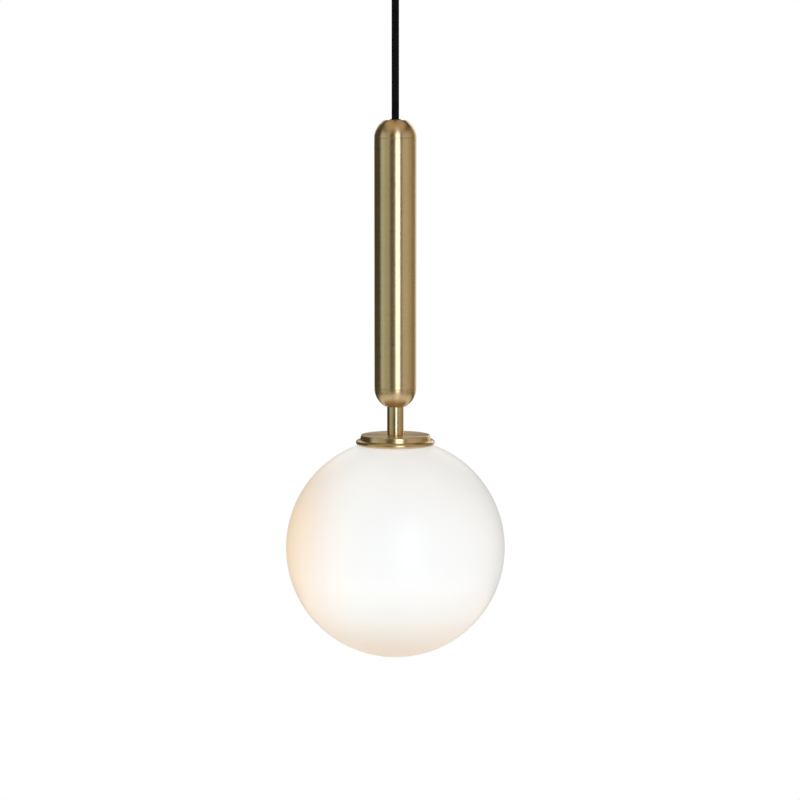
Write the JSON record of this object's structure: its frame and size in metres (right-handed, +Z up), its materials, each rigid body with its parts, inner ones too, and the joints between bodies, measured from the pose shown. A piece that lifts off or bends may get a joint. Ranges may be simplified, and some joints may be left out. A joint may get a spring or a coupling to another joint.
{
  "type": "pendant ceiling light",
  "caption": "Pendant light: opal glass globe under a domed brushed-brass tube and stem, hung on a black textile cord from a round canopy.",
  "frame": {"origin": "on the ceiling plane, on the light's axis, midway between the mounting strap's two fixing slots", "axes": "+Z up, out of the ceiling face; +X along the mounting strap; +Y across it"},
  "size_m": [0.2, 0.2, 0.6455],
  "materials": {
    "ceiling_steel": "zinc-plated, satin",
    "screw_steel": "zinc-plated, bright",
    "satin_brass": "brushed and lacquered, aged tone",
    "bright_brass": "turned, bare",
    "white_nylon": "moulded",
    "black_nylon": "moulded",
    "brown_pvc": "extruded",
    "blue_pvc": "extruded",
    "green_yellow_pvc": "extruded, striped",
    "black_textile": "round braid",
    "gasket_rubber": "moulded silicone",
    "ring_aluminium": "turned",
    "opal_glass": "three-layer opal, satin gloss",
    "white_porcelain": "glazed",
    "shell_nickel": "nickel-plated, rolled thread",
    "bulb_white": "moulded",
    "bulb_diffuser": "frosted polycarbonate",
    "black_glass": "vitrite",
    "solder": "soldered",
    "board_white": "white solder mask",
    "led_yellow": "phosphor",
    "board_green": "circuit board"
  },
  "bodies": {
    "ceiling_strap": {"mounting_strap": "ceiling_steel", "side_screws": "satin_brass", "terminal_block": "white_nylon", "terminal_tubes": "bright_brass", "terminal_clamp_screws": "screw_steel", "block_fixing_screw": "screw_steel", "earth_screw": "screw_steel", "earth_ring_terminal": "screw_steel", "canopy_core_live": "brown_pvc", "canopy_core_neutral": "blue_pvc", "canopy_core_earth": "green_yellow_pvc"},
    "canopy": {"canopy": "satin_brass", "canopy_cord_grip": "satin_brass", "grip_set_screw": "screw_steel", "grip_washer": "screw_steel", "grip_lock_nut": "bright_brass", "cord_in_canopy": "black_textile"},
    "cord_bend": {"cord_flex": "black_textile"},
    "pendant": {"cord": "black_textile", "cap_bush": "black_nylon", "top_end_cap": "satin_brass", "cord_anchor": "white_nylon", "anchor_screw": "screw_steel", "threaded_rod": "screw_steel", "carrier_nut": "screw_steel", "carrier_washer": "screw_steel", "carrier_disc": "ceiling_steel", "body_tube": "satin_brass", "bottom_end_cap": "satin_brass", "stem": "satin_brass", "gallery": "satin_brass", "thread_ring": "ring_aluminium", "globe_gasket": "gasket_rubber", "gallery_washer": "screw_steel", "gallery_nut": "screw_steel", "holder_cap": "black_nylon", "holder_skirt": "black_nylon", "holder_insert": "white_porcelain", "holder_terminal_screws": "bright_brass", "holder_shell": "shell_nickel", "holder_contact": "bright_brass", "pendant_core_live": "brown_pvc", "pendant_core_neutral": "blue_pvc", "pendant_core_earth": "green_yellow_pvc"},
    "globe": {"globe": "opal_glass"},
    "bulb": {"bulb_contact": "solder", "bulb_insulator": "black_glass", "bulb_screw_base": "shell_nickel", "bulb_housing": "bulb_white", "bulb_dome": "bulb_diffuser", "led_board": "board_white", "led_chips": "led_yellow", "bulb_driver": "board_green"}
  },
  "joints": [
    {"name": "canopy_drop", "type": "slide", "parent": "ceiling_strap", "child": "canopy", "axis": [0, 0, -1], "range_m": [0, 0.035]},
    {"name": "swing_front", "type": "hinge", "parent": "canopy", "child": "cord_bend", "pos_m": [0, 0, -0.0395], "axis": [1, 0, 0], "range_deg": [-18, 18]},
    {"name": "swing_side", "type": "hinge", "parent": "cord_bend", "child": "pendant", "pos_m": [0, 0, -0.0395], "axis": [0, 1, 0], "range_deg": [-18, 18]},
    {"name": "globe_off", "type": "slide", "parent": "pendant", "child": "globe", "axis": [0, 0, -1], "range_m": [0, 0.12]},
    {"name": "bulb_out", "type": "slide", "parent": "pendant", "child": "bulb", "axis": [0, 0, -1], "range_m": [0, 0.03]}
  ]
}
